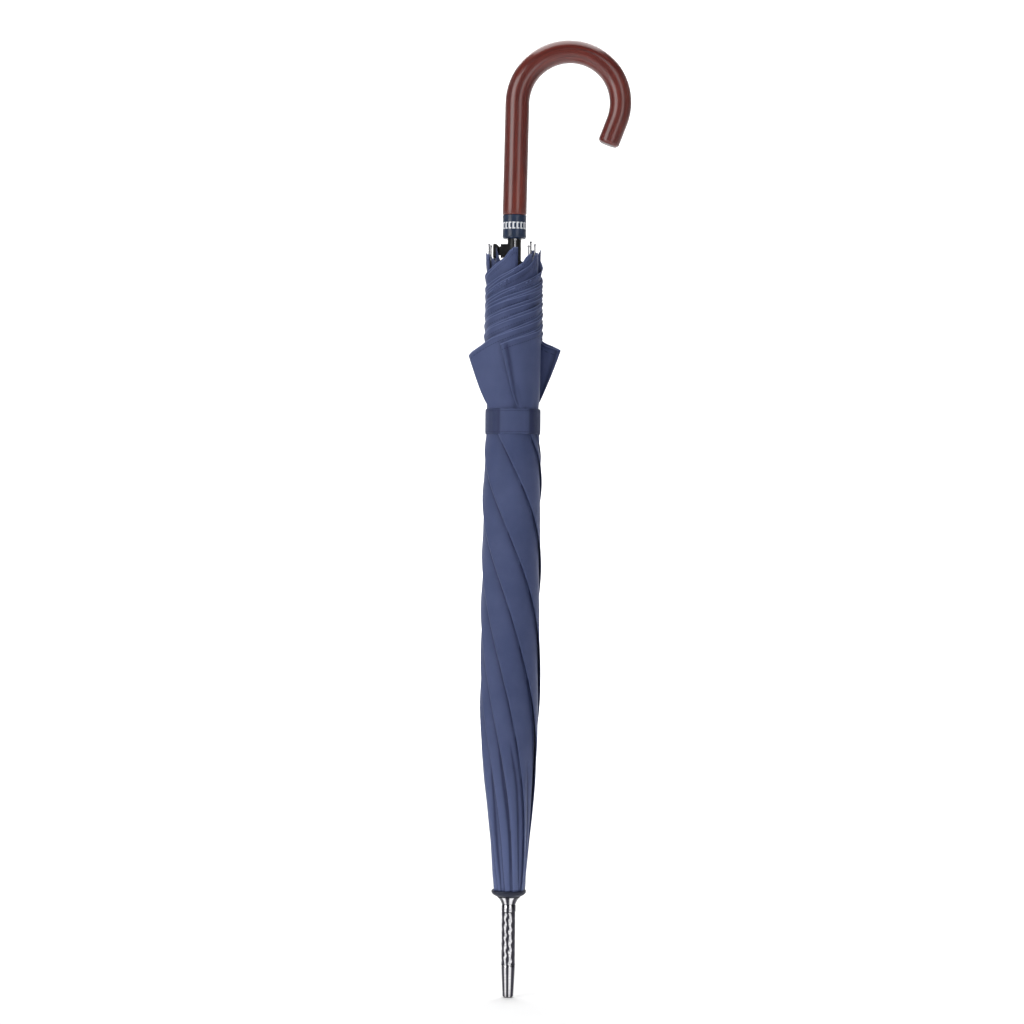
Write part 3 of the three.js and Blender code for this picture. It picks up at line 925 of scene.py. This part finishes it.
def folded_away(rib, spot, start, width):
    """Where a spot of the spread cloth lies when the rib is shut: the share of the spread that
    it follows depends on where it lies across the pleat, so it is found by halving."""
    low, high = 0.0, 1.0

    def lean(share):
        turned = Matrix.Rotation(-rib * STEP - share * STEP, 3, "Z") @ spot
        return turned, ease((turned.y - start) / width)

    for _ in range(40):
        share = (low + high) / 2
        _, asked = lean(share)
        if asked > share:
            low = share
        else:
            high = share
    turned, _ = lean((low + high) / 2)
    x, up = turned.x - HINGE_RADIUS, turned.z - HINGE_Z
    out = HINGE_RADIUS + x * math.cos(OPEN) - up * math.sin(OPEN)
    high_z = HINGE_Z + x * math.sin(OPEN) + up * math.cos(OPEN)
    back = Vector((out, turned.y, high_z))
    back.rotate(Matrix.Rotation(rib * STEP, 3, "Z"))
    return back


# Where the spread cloth is folded away between two closed ribs, and how wide that pleat is.
PLEAT_START, PLEAT_WIDTH = -0.001, 0.0022


def spread_panel(rib, s, finish):
    """One panel of the canopy stretched between two ribs, folded away between them at rest."""
    bm, uv, painted_light_and_shade, hem = cloth_grid(SPREAD_COLUMNS, SPREAD_ROWS)
    flat = {}
    ends = [TIPS[(rib + k) % RIBS][2] - PEAK_DROP for k in (0, 1)]
    for vert in bm.verts:
        share, rise = (vert.co.x + 1) / 2, (vert.co.y + 1) / 2
        bow = 4 * share * (1 - share)
        reach = rise * (1 - HEM_BOW * bow * rise)
        spots = [
            opened(rib + k, mix(SPREAD_FOOT, ends[k], reach), SPREAD_STAND) for k in (0, 1)
        ]
        spot = spots[0].lerp(spots[1], share)
        wide = (spots[1] - spots[0]).length
        spot.z += bow * wide * MIDDLE_BOW
        # Painted shade along the two ribs that the panel meets.
        vert[painted_light_and_shade] = 0.5 * math.exp(-min(share, 1 - share) * wide / 0.004)
        vert[hem] = (1 - rise) * CUT_LENGTH
        flat[vert.index] = ((share - 0.5) * wide, reach * CUT_LENGTH)
        vert.co = folded_away(rib, spot, PLEAT_START, PLEAT_WIDTH)
    name = f"canopy_spread_{rib + 1}"
    return sheet_piece(name, bm, uv, flat, finish, "cloth", s.thickness)


# ---------------------------------------------------------------- strap

STRAP_LOW, STRAP_HIGH = 0.5233, 0.5467
STRAP_FROM, STRAP_TO = math.radians(115), math.radians(425)
TAB_FROM, TAB_TO = math.radians(62), math.radians(126)
SNAP_TURN = math.radians(119)
STRAP_RADIUS = 0.0250
STRAP_THICK = 0.0007
STRAP_ROWS = 10
# How far the loose end lies outside the band, and where the press stud sits on it.
TAB_LIFT, STUD_RADIUS = 0.0015, 0.0263
# How shaded the strap is round its turn, where it is drawn flat over the folds beneath.
FACETS = Profile(
    [
        (0, 0.7), (24, 0.6), (30, 0.1), (70, 0.1), (76, 0.6), (120, 0.5), (126, 0.05),
        (182, 0.1), (188, 0.6), (236, 0.66), (240, 0.85), (245, 0.0), (303, 0.0), (309, 1.0),
        (360, 0.7),
    ],
    2.0,
)


def strap_radius(turn):
    """The band rides over the wound folds under it, in soft steps."""
    rise = 0.0
    for panel in range(RIBS):
        ahead = (turn - edge_azimuth(panel, STRAP_MIDDLE) + math.pi) % math.tau - math.pi
        rise += 0.0004 * (ease(between(ahead, -0.12, 0.06)) - between(ahead, 0.0, 0.9))
    return STRAP_RADIUS + rise


def band(name, finish, start, end, lift, columns):
    """A length of webbing round the furled cloth, with soft edges."""
    bm, uv, painted_light_and_shade, hem = cloth_grid(columns, STRAP_ROWS)
    flat = {}
    for vert in bm.verts:
        turn = mix(start, end, (vert.co.x + 1) / 2)
        z = mix(STRAP_LOW, STRAP_HIGH, (vert.co.y + 1) / 2)
        rim = min(z - STRAP_LOW, STRAP_HIGH - z)
        crown = 0.00025 * ease(between(rim, 0, 0.003))
        flat[vert.index] = (turn * STRAP_RADIUS, z)
        vert[hem] = rim + 0.0035
        # Painted shade round the band's turn, where it lies flat over the folds beneath.
        vert[painted_light_and_shade] = FACETS(math.degrees(turn) % 360)
        vert.co = polar(turn, strap_radius(turn) + lift + crown, z)
    piece = sheet_piece(name, bm, uv, flat, finish, "webbing", STRAP_THICK)
    soft = piece.modifiers.new("edge", "BEVEL")
    soft.width, soft.segments, soft.limit_method = 0.0002, 2, "ANGLE"
    return piece


# ---------------------------------------------------------------- operators


MIDDLE = (0.0, 0.0, 0.45)
# Name, place, width and height, watts, and the spot that each soft light is aimed at.
LAMPS = (
    ("key_left", (-1.39, -1.30, 1.0), (1.1, 1.75), 19, MIDDLE),
    ("key_right", (0.89, -1.68, 1.0), (0.8, 1.75), 7, MIDDLE),
    ("top_soft", (0.0, 0.3, 2.6), (2.0, 2.0), 36, MIDDLE),
    ("floor_wash", (0.0, 2.8, 2.9), (3.6, 2.4), 120, (0.0, 3.6, 0.0)),
    ("back_wash", (0.0, 4.6, 3.7), (5.0, 1.0), 260, (0.0, 7.2, 1.0)),
)
# The paper is a round floor, a cove and a wall, laid just under the ferrule.
FLOOR_RADIUS, COVE_RADIUS, WALL_TOP, COVE_STEPS = 5.0, 2.2, 6.0, 12
FLOOR_DROP = -0.0006
SENSOR_WIDTH = 36


class UMBRELLA_OT_stage(bpy.types.Operator):
    """Lay the paper, hang the soft lights and set the camera"""

    bl_idname = "umbrella.stage"
    bl_label = "Studio"

    def execute(self, context):
        s = context.scene.umbrella_studio
        self.paper(s)
        self.lamps(context)
        self.camera(context, s)
        return {"FINISHED"}

    def paper(self, s):
        """The floor, its cove and the wall, as one bowl."""
        line = [(0.0, 0.0), (FLOOR_RADIUS, 0.0)]
        for k in range(1, COVE_STEPS + 1):
            a = k / COVE_STEPS * math.pi / 2
            out, up = COVE_RADIUS * math.sin(a), COVE_RADIUS - COVE_RADIUS * math.cos(a)
            line.append((FLOOR_RADIUS + out, up))
        line.append((FLOOR_RADIUS + COVE_RADIUS, WALL_TOP))
        bowl = lathe(line, 96, (0, 0, FLOOR_DROP))
        paper = finished("studio_paper", bowl, painted_backdrop(s))

    def lamps(self, context):
        """The soft lights, each turned to face what it lights."""
        for name, place, (wide, high), watts, aim in LAMPS:
            light = bpy.data.lights.new(name, "AREA")
            light.shape, light.size, light.size_y = "RECTANGLE", wide, high
            light.energy = watts
            lamp = bpy.data.objects.new(name, light)
            lamp.location = place
            direction = Vector(aim) - Vector(place)
            lamp.rotation_euler = direction.to_track_quat("-Z", "Y").to_euler()
            context.scene.collection.objects.link(lamp)

    def camera(self, context, s):
        """The even light from all round, and the camera level with the umbrella's middle."""
        world = bpy.data.worlds.new("studio")
        world.use_nodes = True
        sky = world.node_tree.nodes["Background"].inputs
        sky["Color"].default_value, sky["Strength"].default_value = (1, 1, 1, 1), s.sky
        context.scene.world = world
        context.scene.view_settings.view_transform = "Standard"
        lens = bpy.data.cameras.new("camera")
        lens.sensor_width = SENSOR_WIDTH
        lens.lens = SENSOR_WIDTH * s.distance / s.view_height
        camera = bpy.data.objects.new("camera", lens)
        camera.location = (0.0, -s.distance, s.camera_height)
        camera.rotation_euler = (math.pi / 2, s.roll, 0)
        context.scene.collection.objects.link(camera)
        context.scene.camera = camera


# The crook: where its wood starts and where it starts to bend, how far it bends, how much the
# stick leans for each metre of height, its straight last run, and its rounded end.
CROOK_LOW, CROOK_SPRING, CROOK_TURN = 0.7273, 0.832, math.radians(200)
CROOK_LEAN = 0.0165
CROOK_STEPS, BEND_STEPS, RUN_STEPS, RUN_STEP = 12, 40, 4, 0.0050
END_ROUND, END_TURNS = 0.0035, (0.35, 0.7, 1.05, 1.35, 1.52)
CROOK_SIDES = 56
CROOK_WAY = Vector((math.sin(CROOK_TURN), 0, math.cos(CROOK_TURN)))


def crook_path(bend):
    """Spots along the crook's middle line, each with how far it has bent there."""
    path = [
        ((0, 0, mix(CROOK_LOW, CROOK_SPRING, k / CROOK_STEPS)), 0.0)
        for k in range(CROOK_STEPS + 1)
    ]
    for k in range(1, BEND_STEPS + 1):
        a = CROOK_TURN * k / BEND_STEPS
        path.append(((bend - bend * math.cos(a), 0, CROOK_SPRING + bend * math.sin(a)), a))
    last = Vector(path[-1][0])
    for k in range(1, RUN_STEPS + 1):
        path.append((tuple(last + CROOK_WAY * RUN_STEP * k), CROOK_TURN))
    return [((x + CROOK_LEAN * (z - CROOK_LOW), y, z), a) for (x, y, z), a in path]


def crook_stations(s):
    """The rings of the crook: a small chamfer above the collar, the taper, the rounded end."""
    path = crook_path(s.bend_radius)
    last = len(path) - 1
    stations = []
    for inset, rise in ((0.0011, 0.0), (0.0004, 0.0003), (0.0, 0.0011)):
        stations.append((Matrix.Translation((0, 0, CROOK_LOW + rise)), s.radius - inset))
    for k, (spot, a) in enumerate(path[1:], 1):
        radius = mix(s.radius, s.end_radius, ease(between(k, last * 0.25, last)))
        stations.append((Matrix.Translation(spot) @ Matrix.Rotation(a, 4, "Y"), radius))
    end = Vector(path[-1][0])
    for turn in END_TURNS:
        spot = end + CROOK_WAY * END_ROUND * math.sin(turn)
        radius = s.end_radius - END_ROUND * (1 - math.cos(turn))
        place = Matrix.Translation(spot) @ Matrix.Rotation(CROOK_TURN, 4, "Y")
        stations.append((place, radius))
    return stations


class UMBRELLA_OT_crook(bpy.types.Operator):
    """Sweep the tapering wooden crook"""

    bl_idname = "umbrella.crook"
    bl_label = "Crook handle"

    def execute(self, context):
        s = context.scene.umbrella_crook
        stations = crook_stations(s)
        bm = sweep(stations, CROOK_SIDES)
        bm.verts.ensure_lookup_table()
        names = ("length", "turn_x", "turn_y", "end")
        layers = {n: bm.verts.layers.float.new(n) for n in names}
        run = 0.0
        for k, (place, radius) in enumerate(stations):
            if k:
                run += (place.translation - stations[k - 1][0].translation).length
            for vert in bm.verts[k * CROOK_SIDES:(k + 1) * CROOK_SIDES]:
                local = place.inverted() @ vert.co
                vert[layers["length"]] = run
                vert[layers["turn_x"]] = local.x
                vert[layers["turn_y"]] = local.y
                vert[layers["end"]] = 1.0 if k >= len(stations) - 2 else 0.0
        crook = finished("crook", bm, lacquered_wood(s), sharp=math.radians(50))
        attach(crook, "frame")
        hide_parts("handle_crook")
        return {"FINISHED"}


class UMBRELLA_OT_collar(bpy.types.Operator):
    """Turn the enamelled collar and its two rolled rims"""

    bl_idname = "umbrella.collar"
    bl_label = "Collar"

    def execute(self, context):
        s = context.scene.umbrella_metal
        profile = [
            (0.0066, 0.7272), (0.0106, 0.7272), (0.0111, 0.7268), (0.01125, 0.7260),
            (0.0111, 0.7252), (0.01095, 0.7245), (0.01095, 0.7090), (0.0111, 0.7084),
            (0.01122, 0.7074), (0.0108, 0.7062), (0.0102, 0.7052), (0.0098, 0.7050),
            (0.0066, 0.7050), (0.0066, 0.7272),
        ]
        bm = lathe(profile, 72)
        collar = finished("collar", bm, collar_enamel(s), sharp=math.radians(40))
        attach(collar, "frame")
        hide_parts("collar_band")
        return {"FINISHED"}


class UMBRELLA_OT_button(bpy.types.Operator):
    """Shape the waisted push button"""

    bl_idname = "umbrella.button"
    bl_label = "Push button"

    def execute(self, context):
        black = moulded_plastic("button_plastic", (0.003, 0.003, 0.005), (0.015, 0.014, 0.016), 0.3)
        low, high = (Vector(c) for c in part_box("push_button"))
        middle = (low + high) / 2
        tall, deep = (high.z - low.z) / 2, (high.y - low.y) / 2
        bm = bmesh.new()
        bmesh.ops.create_cube(bm, size=1.0)
        sections = [
            (low.x, 0.90, 0.9), (low.x + 0.0009, 1.0, 1.0), (low.x + 0.0030, 0.97, 1.0),
            (low.x + 0.0046, 0.80, 0.92), (low.x + 0.0062, 0.70, 0.66),
            (high.x, 0.62, 0.62),
        ]
        ends = [[v for v in bm.verts if v.co.x * side > 0] for side in (-1, 1)]
        for verts, (x, share, width) in zip(ends, (sections[0], sections[-1])):
            for vert in verts:
                vert.co = Vector((
                    x, middle.y + math.copysign(deep * width, vert.co.y),
                    middle.z + math.copysign(tall * share, vert.co.z),
                ))
        for x, share, width in sections[1:-1]:
            cut = bmesh.ops.bisect_plane(
                bm, geom=bm.verts[:] + bm.edges[:] + bm.faces[:], dist=1e-7,
                plane_co=(x, 0, 0), plane_no=(1, 0, 0),
            )["geom_cut"]
            for vert in (g for g in cut if isinstance(g, bmesh.types.BMVert)):
                vert.co.y = middle.y + math.copysign(deep * width, vert.co.y - middle.y)
                vert.co.z = middle.z + math.copysign(tall * share, vert.co.z - middle.z)
        along_x = [e for e in bm.edges if abs(e.verts[0].co.x - e.verts[1].co.x) > 1e-5]
        bmesh.ops.bevel(
            bm, geom=along_x, offset=0.0016, segments=4, profile=0.5, affect="EDGES",
            material=-1, clamp_overlap=True,
        )
        button = finished("button", bm, black, sharp=math.radians(38))
        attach(button, "push_button")
        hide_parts("push_button")
        return {"FINISHED"}


# Painted reflection: how bright the plating is painted round the ferrule, in streaks along it that
# stand in for the soft lights it mirrors.
GLEAM = Profile(
    [
        (0, 0.1), (20, 0.1), (30, 0.8), (44, 0.9), (52, 0.2), (60, 0.15), (68, 0.85),
        (86, 0.9), (96, 0.1), (140, 0.05), (150, 0.7), (166, 0.8), (176, 0.1), (186, 0.9),
        (196, 0.8), (206, 0.08), (230, 0.0), (239, 0.9), (245, 1), (250, 0.9), (255, 0.0),
        (271, 0.0), (277, 0.9), (286, 1), (294, 0.9), (300, 0.0), (330, 0.0), (345, 0.25),
        (360, 0.1),
    ],
    2.0,
)


class UMBRELLA_OT_ferrule(bpy.types.Operator):
    """Turn the ferrule's tip, hammered sleeve, flare and the crown's cap"""

    bl_idname = "umbrella.ferrule"
    bl_label = "Ferrule and cap"

    def execute(self, context):
        s = context.scene.umbrella_metal
        chrome = bright_metal("ferrule_chrome", s.chrome, s.chrome_streaks_and_painted_dark, 0.13, drawn=True)
        cap_paint = moulded_plastic("cap_plastic", tuple(s.cap), (0.018, 0.024, 0.05), 0.5)
        pieces = {
            "ferrule_tip": (chrome, "chrome", [
                (0, 0.0), (0.0040, 0.0), (0.0046, 0.0002), (0.0051, 0.0007),
                (0.0056, 0.010), (0.0061, 0.020), (0.00645, 0.0276), (0.0065, 0.0283),
                (0.0063, 0.0289), (0.0, 0.0289),
            ]),
            "ferrule_flange": (chrome, "chrome", [
                (0, 0.0863), (0.0064, 0.0863), (0.0067, 0.0867), (0.0070, 0.0875),
                (0.0076, 0.0889), (0.0085, 0.0904), (0.0097, 0.0918), (0.0106, 0.0926),
                (0.0107, 0.0929), (0.0104, 0.0931), (0.0, 0.0931),
            ]),
            "top_cap": (cap_paint, "cap", [
                (0.0052, 0.0932), (0.0098, 0.0932), (0.0112, 0.0935), (0.0126, 0.0942),
                (0.0140, 0.0950), (0.0151, 0.0958), (0.0157, 0.0965), (0.0160, 0.0972),
                (0.0161, 0.0981), (0.0160, 0.0990), (0.0156, 0.0995), (0.0150, 0.0996),
                (0.0146, 0.0992), (0.0136, 0.0982), (0.0122, 0.0972), (0.0105, 0.0966),
                (0.0070, 0.0962), (0.0052, 0.0962), (0.0052, 0.0932),
            ]),
        }
        for node, (finish, slot, profile) in pieces.items():
            bm = lathe(profile, 144)
            # Painted reflection streaks, stored on each turned piece.
            gleam = bm.verts.layers.float.new("gleam")
            for vert in bm.verts:
                vert[gleam] = GLEAM(math.degrees(math.atan2(vert.co.y, vert.co.x)) % 360)
            piece = finished(f"{node}_turned", bm, finish, sharp=math.radians(42))
            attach(piece, "frame")
            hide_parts(node)
        self.sleeve(s)
        return {"FINISHED"}

    def sleeve(self, s):
        """The hammered sleeve, with a plain rim at its foot and a plain ring at its head."""
        low, high, plain, ring = 0.0292, 0.0862, 0.0302, 0.0785
        pitch, relief = 0.0096, 0.00045
        outline = [(0, low), (0.0063, low), (0.0067, low + 0.0002), (0.0067, plain - 0.0001)]
        rows = 96
        outline += [(0.0065, mix(plain, ring, k / rows)) for k in range(rows + 1)]
        outline += [
            (0.0061, ring + 0.0002), (0.0061, ring + 0.0006), (0.0066, ring + 0.0009),
            (0.0067, ring + 0.0014), (0.0066, high - 0.0008), (0.0062, high), (0, high),
        ]
        bm = lathe(outline, 144)
        hollow_and_painted_dark = bm.verts.layers.float.new("hollow_and_painted_dark")
        for vert in bm.verts:
            radius = math.hypot(vert.co.x, vert.co.y)
            turn = math.atan2(vert.co.y, vert.co.x)
            if not plain - 1e-5 < vert.co.z < ring + 1e-5 or radius < 0.005:
                # Painted reflection: the plain rim and ring are painted dark between the bright
                # streaks.
                vert[hollow_and_painted_dark] = 1 - GLEAM(math.degrees(turn) % 360)
                if radius < 0.0062:
                    vert[hollow_and_painted_dark] = 1.0
                continue
            # The hollows, pressed in and painted dark, follow the painted reflection streaks, high
            # and bright where the plating would mirror the lights.
            climb = (vert.co.z - plain) / pitch * math.tau
            sway = 3.4 * math.sin(climb + 4 * turn) + 1.6 * math.sin(1.6 * climb + 1.0)
            lit = GLEAM((math.degrees(turn) + sway) % 360)
            scale = 0.5 + 0.5 * math.sin(climb + 4 * turn + 1.2) * math.sin(8 * turn + 0.6)
            depth = min(1.0, max(0.0, 1 - lit * (0.7 + 0.3 * scale) - 0.14 * scale))
            vert[hollow_and_painted_dark] = depth
            share = (radius - relief * depth + 0.0002) / radius
            vert.co.x *= share
            vert.co.y *= share
        piece = finished("ferrule_sleeve_hammered", bm, hammered_metal(s))
        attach(piece, "frame")
        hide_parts("ferrule_sleeve")


class UMBRELLA_OT_rib_tips(bpy.types.Operator):
    """Turn the plated cups, stems and balls on the rib ends"""

    bl_idname = "umbrella.rib_tips"
    bl_label = "Rib tips"

    def execute(self, context):
        s = context.scene.umbrella_metal
        chrome = bright_metal("rib_tip_chrome", s.stem, (0.12, 0.12, 0.13), 0.2)
        for rib, (azimuth, radius, top) in enumerate(TIPS):
            base_turn, base_radius = rib_spot(rib, top - TIP_LENGTH)
            base = polar(base_turn, base_radius, top - TIP_LENGTH)
            end = polar(math.radians(azimuth), radius, top)
            way = (end - base).normalized()
            side = way.orthogonal().normalized()
            length = (end - base).length
            profile = [
                (0, 0.0), (0.0014, 0.0002), (0.0016, 0.0008), (0.0015, 0.0026),
                (0.0010, 0.0034), (0.00085, 0.0044), (0.00078, length - 0.0030),
                (0.0008, length - 0.0022), (0.00115, length - 0.0017),
                (0.00128, length - 0.0011), (0.00112, length - 0.0005),
                (0.0006, length - 0.0001), (0, length),
            ]
            bm = lathe(profile, 24, base, way, side)
            tip = finished(f"rib_end_{rib + 1}", bm, chrome, sharp=math.radians(60))
            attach(tip, f"rib_{rib + 1}")
            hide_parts(f"rib_tip_{rib + 1}")
        return {"FINISHED"}


class UMBRELLA_OT_furled_cloth(bpy.types.Operator):
    """Wind the eight folded panels of the canopy round the stick"""

    bl_idname = "umbrella.furled_cloth"
    bl_label = "Furled canopy"

    def execute(self, context):
        s = context.scene.umbrella_cloth
        cloth = canopy_cloth("canopy_cloth", s)
        for panel in range(RIBS):
            piece = furled_panel(panel, s, cloth)
            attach(piece, "frame")
            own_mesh(piece)
            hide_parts(f"gore_{(panel + 1) % RIBS + 1}")
        return {"FINISHED"}


class UMBRELLA_OT_spread_cloth(bpy.types.Operator):
    """Stretch the same panels between the ribs for the open canopy"""

    bl_idname = "umbrella.spread_cloth"
    bl_label = "Spread canopy"

    def execute(self, context):
        s = context.scene.umbrella_cloth
        cloth = canopy_cloth("canopy_cloth_spread", s)
        for rib in range(RIBS):
            piece = spread_panel(rib, s, cloth)
            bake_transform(piece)
            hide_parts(f"gore_{rib + 1}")
        return {"FINISHED"}


class UMBRELLA_OT_strap(bpy.types.Operator):
    """Wrap the closing strap with its tab and press stud"""

    bl_idname = "umbrella.strap"
    bl_label = "Strap"

    def execute(self, context):
        s = context.scene.umbrella_cloth
        m = context.scene.umbrella_metal
        webbing = canopy_cloth("strap_cloth", s, tint=0.92)
        chrome = bright_metal("stud_chrome", m.stem, (0.2, 0.2, 0.22), 0.2)
        wrap = band("strap_wrap", webbing, STRAP_FROM, STRAP_TO, 0.0, 150)
        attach(wrap, "gore_3")
        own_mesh(wrap)
        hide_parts("strap_band")
        tab = band("strap_end", webbing, TAB_FROM, TAB_TO, TAB_LIFT, 40)
        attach(tab, "strap_tab")
        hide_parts("strap_tab")
        side = Vector((math.cos(SNAP_TURN), math.sin(SNAP_TURN), 0))
        centre = side * STUD_RADIUS + Vector((0, 0, STRAP_MIDDLE))
        profile = [
            (0, 0), (0.0041, 0), (0.0045, 0.0002), (0.0045, 0.0007), (0.0041, 0.0011),
            (0.0030, 0.0013), (0.0018, 0.0012), (0.0, 0.00105),
        ]
        bm = lathe(profile, 40, centre, side, (0, 0, 1))
        stud = finished("press_stud", bm, chrome, sharp=math.radians(50))
        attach(stud, "strap_tab")
        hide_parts("snap_cap")
        return {"FINISHED"}


class UMBRELLA_OT_frame_finish(bpy.types.Operator):
    """Give the frame's own parts their metal and plastic"""

    bl_idname = "umbrella.frame_finish"
    bl_label = "Frame finishes"

    def execute(self, context):
        finishes = bare_metal_and_plastic(context.scene.umbrella_metal)
        slots = {part["node"]: part["material_slot"] for part in frame["record"]["subparts"]}
        for name, node in frame["nodes"].items():
            finish = finishes.get(slots.get(name, "steel"), finishes["steel"])
            node.data.materials.clear()
            node.data.materials.append(finish)
        return {"FINISHED"}


class UMBRELLA_PT_parts(bpy.types.Panel):
    """The umbrella's pieces and their settings"""

    bl_label = "Umbrella"
    bl_idname = "UMBRELLA_PT_parts"
    bl_space_type = "VIEW_3D"
    bl_region_type = "UI"
    bl_category = "Umbrella"

    def draw(self, context):
        for operator in OPERATORS:
            self.layout.operator(operator.bl_idname)
        for name, group in GROUPS.items():
            box = self.layout.box()
            for setting in group.__annotations__:
                box.prop(getattr(context.scene, name), setting)


OPERATORS = (
    UMBRELLA_OT_stage, UMBRELLA_OT_crook, UMBRELLA_OT_collar, UMBRELLA_OT_button,
    UMBRELLA_OT_ferrule, UMBRELLA_OT_rib_tips, UMBRELLA_OT_furled_cloth, UMBRELLA_OT_spread_cloth,
    UMBRELLA_OT_strap, UMBRELLA_OT_frame_finish,
)
GROUPS = {
    "umbrella_crook": CrookSettings,
    "umbrella_cloth": ClothSettings,
    "umbrella_metal": MetalSettings,
    "umbrella_studio": StudioSettings,
}


def register():
    for cls in (*GROUPS.values(), *OPERATORS, UMBRELLA_PT_parts):
        bpy.utils.register_class(cls)
    for name, group in GROUPS.items():
        setattr(bpy.types.Scene, name, PointerProperty(type=group))


def unregister():
    for name in GROUPS:
        delattr(bpy.types.Scene, name)
    for cls in reversed((*GROUPS.values(), *OPERATORS, UMBRELLA_PT_parts)):
        bpy.utils.unregister_class(cls)


def main():
    register()
    bpy.ops.umbrella.stage()
    bpy.ops.umbrella.crook()
    bpy.ops.umbrella.collar()
    bpy.ops.umbrella.button()
    bpy.ops.umbrella.ferrule()
    bpy.ops.umbrella.rib_tips()
    bpy.ops.umbrella.furled_cloth()
    bpy.ops.umbrella.spread_cloth()
    bpy.ops.umbrella.strap()
    bpy.ops.umbrella.frame_finish()


if __name__ == "__main__":
    main()
